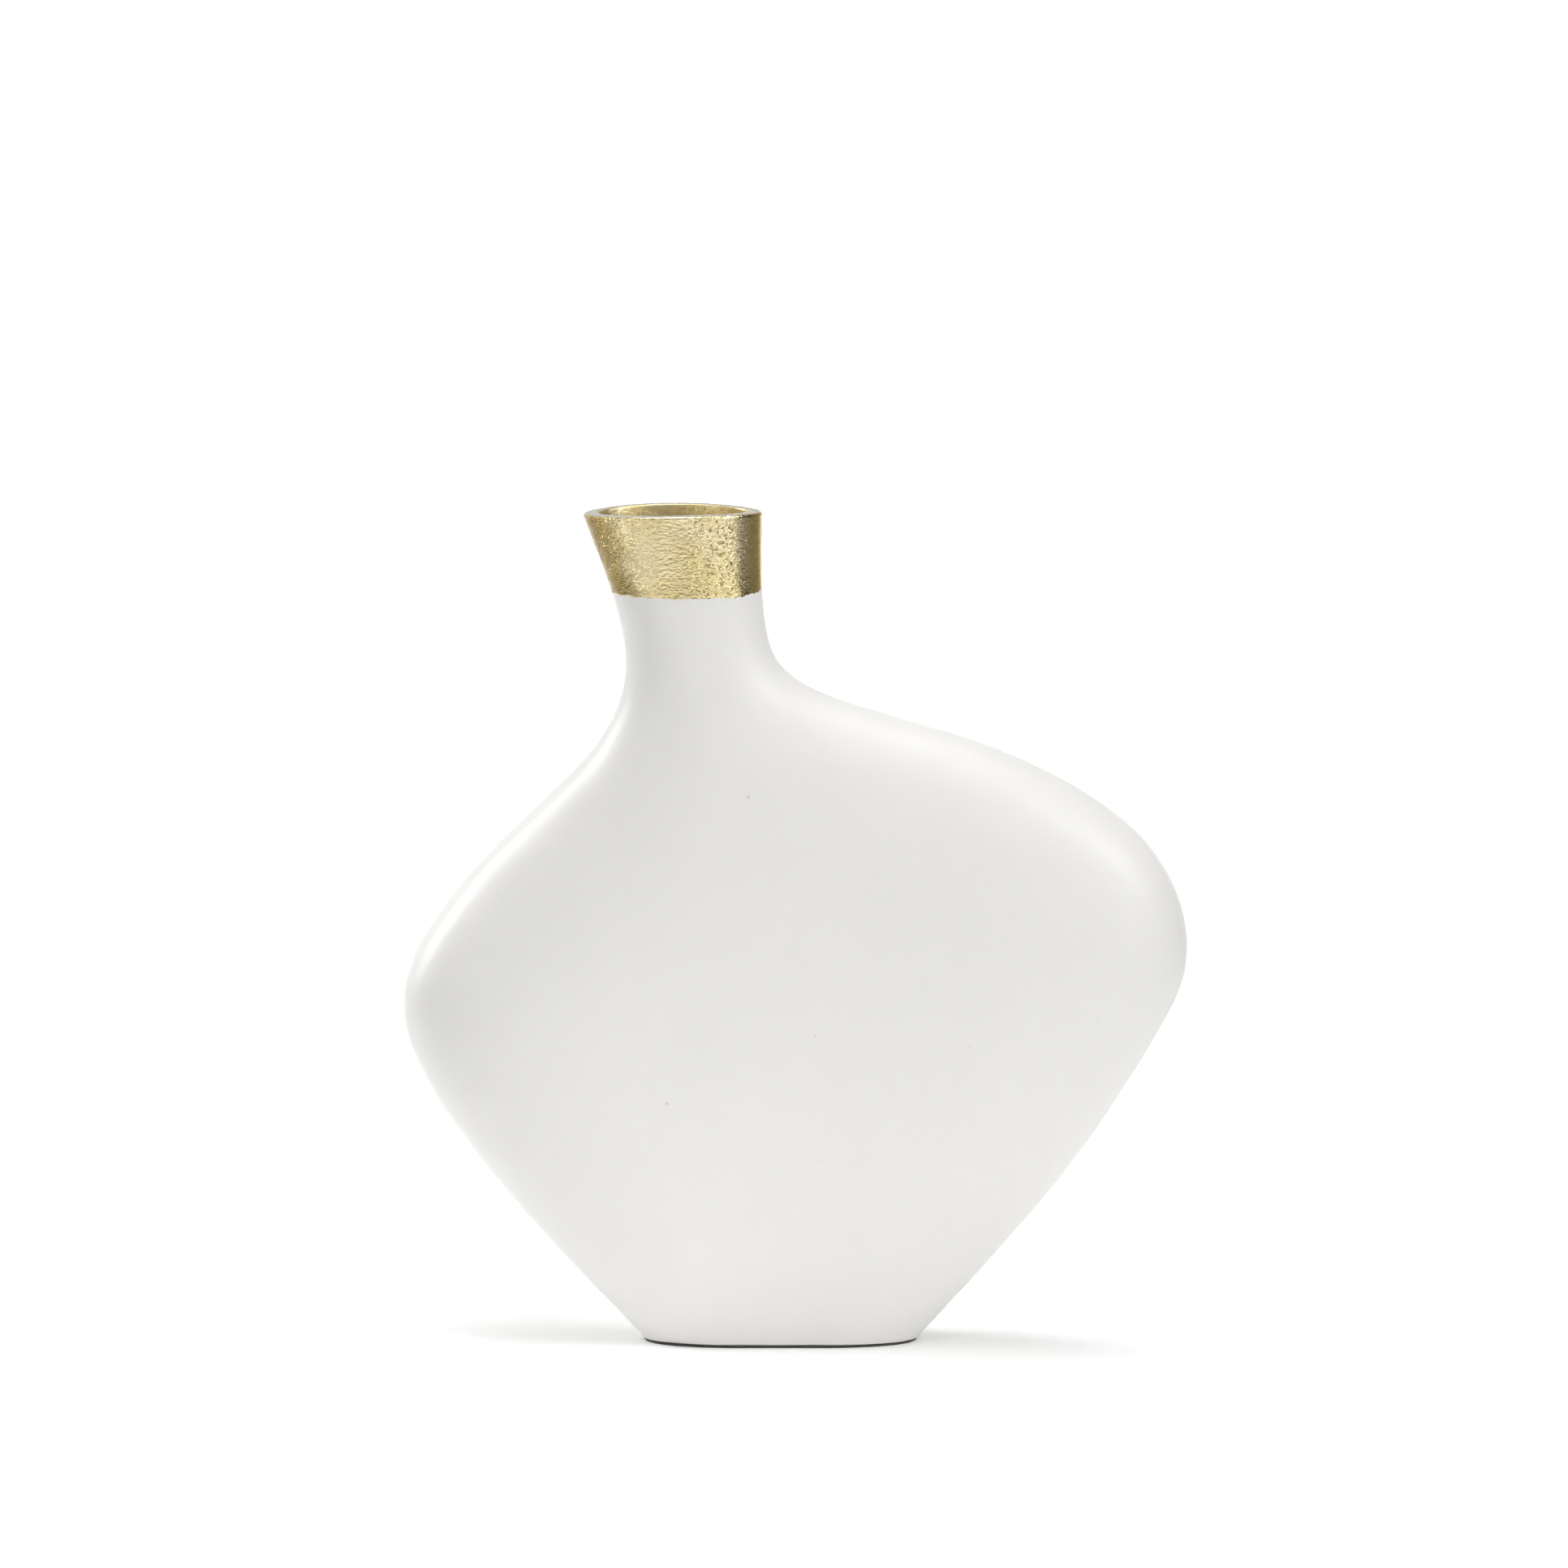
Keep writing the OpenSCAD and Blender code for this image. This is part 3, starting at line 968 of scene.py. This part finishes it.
# %% Finish the parts that keep their own shape
for node, finish in (("base_plate", sawn_plate), ("pad_adhesive", clear_film)):
    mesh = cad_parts[node].data
    mesh.materials.clear()
    mesh.materials.append(finish)
    print(node, "now has", finish.name)

# %% [markdown]
# ## Floor, light and camera
#
# A pale sweep that curves up behind the vase gives a plain bright ground with no horizon. A long
# strip overhead lights the shoulders and the floor round the vase, and wide panels stand in front
# and at both sides. The floor further out stays dimmer, so that the gold has something dark to
# reflect at its two ends.


# %% Pale sweep
def sweep_finish():
    finish = Finish("pale_sweep")
    place = finish.place()
    tooth = finish.noise(place, 2.0, detail=2.0)
    colour = finish.mix(tooth, (0.93, 0.93, 0.93), (0.95, 0.95, 0.95))
    return finish.surface(
        {
            "Base Color": colour,
            "Roughness": 0.9,
            "Specular IOR Level": 0.1,
            "Emission Color": (1, 1, 1, 1),
            "Emission Strength": 0.10,
        }
    )


def make_sweep():
    half_width = 12.0
    near, bend, high, radius = -12.0, 1.6, 8.0, 0.8
    bend_steps = 12
    profile = [(near, 0.0), (bend, 0.0)]
    for k in range(1, bend_steps + 1):
        angle = math.radians(90 * k / bend_steps)
        profile.append((bend + radius * math.sin(angle), radius * (1 - math.cos(angle))))
    profile.append((bend + radius, high))
    points = [(x, y, z) for y, z in profile for x in (-half_width, half_width)]
    faces = [(2 * k, 2 * k + 1, 2 * k + 3, 2 * k + 2) for k in range(len(profile) - 1)]
    mesh = bpy.data.meshes.new("pale_sweep")
    mesh.from_pydata(points, [], faces)
    mesh.materials.append(sweep_finish())
    mesh.shade_smooth()
    piece = bpy.data.objects.new("pale_sweep", mesh)
    bpy.context.scene.collection.objects.link(piece)
    return piece


sweep = make_sweep()


# %% Light panels
def panel(name, place, target, size, power, spread_degrees=180):
    light = bpy.data.lights.new(name, "AREA")
    light.shape = "RECTANGLE"
    light.size, light.size_y = size
    light.energy = power
    light.spread = math.radians(spread_degrees)
    lamp = bpy.data.objects.new(name, light)
    lamp.location = place
    way = Vector(target) - Vector(place)
    lamp.rotation_euler = way.to_track_quat("-Z", "Y").to_euler()
    bpy.context.scene.collection.objects.link(lamp)
    return lamp


VASE_MIDDLE = (0, 0, 0.15)
panel("overhead_strip", (0, 0.6, 0.85), (0, 0.6, 0), (0.8, 3.0), 5.2, spread_degrees=70)
panel("backdrop_panel", (0, 1.5, 1.3), (0, 1.65, 0), (1.6, 1.2), 17, spread_degrees=80)
panel("front_floor_panel", (-0.15, -1.5, 1.6), (-0.15, -1.3, 0), (1.2, 1.0), 4.0, spread_degrees=80)
panel("front_panel", (0, -3.6, 0.95), (0, 0, 0.95), (2.8, 1.9), 5.9)
panel("front_left_panel", (-2.5, -2.5, 0.95), (0, 0, 0.95), (2.8, 1.9), 4.4, spread_degrees=60)
panel("front_right_panel", (2.5, -2.5, 0.95), (0, 0, 0.95), (2.8, 1.9), 3.0, spread_degrees=60)
panel("right_high_panel", (1.4, -0.7, 1.3), VASE_MIDDLE, (0.8, 1.2), 1.6, spread_degrees=50)
panel("left_back_panel", (-1.5, 0.7, 0.9), VASE_MIDDLE, (0.8, 1.2), 1.8, spread_degrees=40)

world = bpy.data.worlds.new("room")
world.use_nodes = True
world.node_tree.nodes["Background"].inputs["Color"].default_value = (0.03, 0.03, 0.03, 1)
bpy.context.scene.world = world
bpy.context.scene.view_settings.view_transform = "Standard"

# %% Camera
CAMERA_PLACE = (-0.0038, -3.2, 0.700)
CAMERA_DIP_DEGREES = 9.09
LENS_MM = 223.8

camera_data = bpy.data.cameras.new("camera")
camera_data.lens = LENS_MM
camera_data.sensor_width = 36
camera_data.clip_end = 50
camera = bpy.data.objects.new("camera", camera_data)
camera.location = CAMERA_PLACE
camera.rotation_euler = (math.radians(90 - CAMERA_DIP_DEGREES), 0, 0)
bpy.context.scene.collection.objects.link(camera)
bpy.context.scene.camera = camera
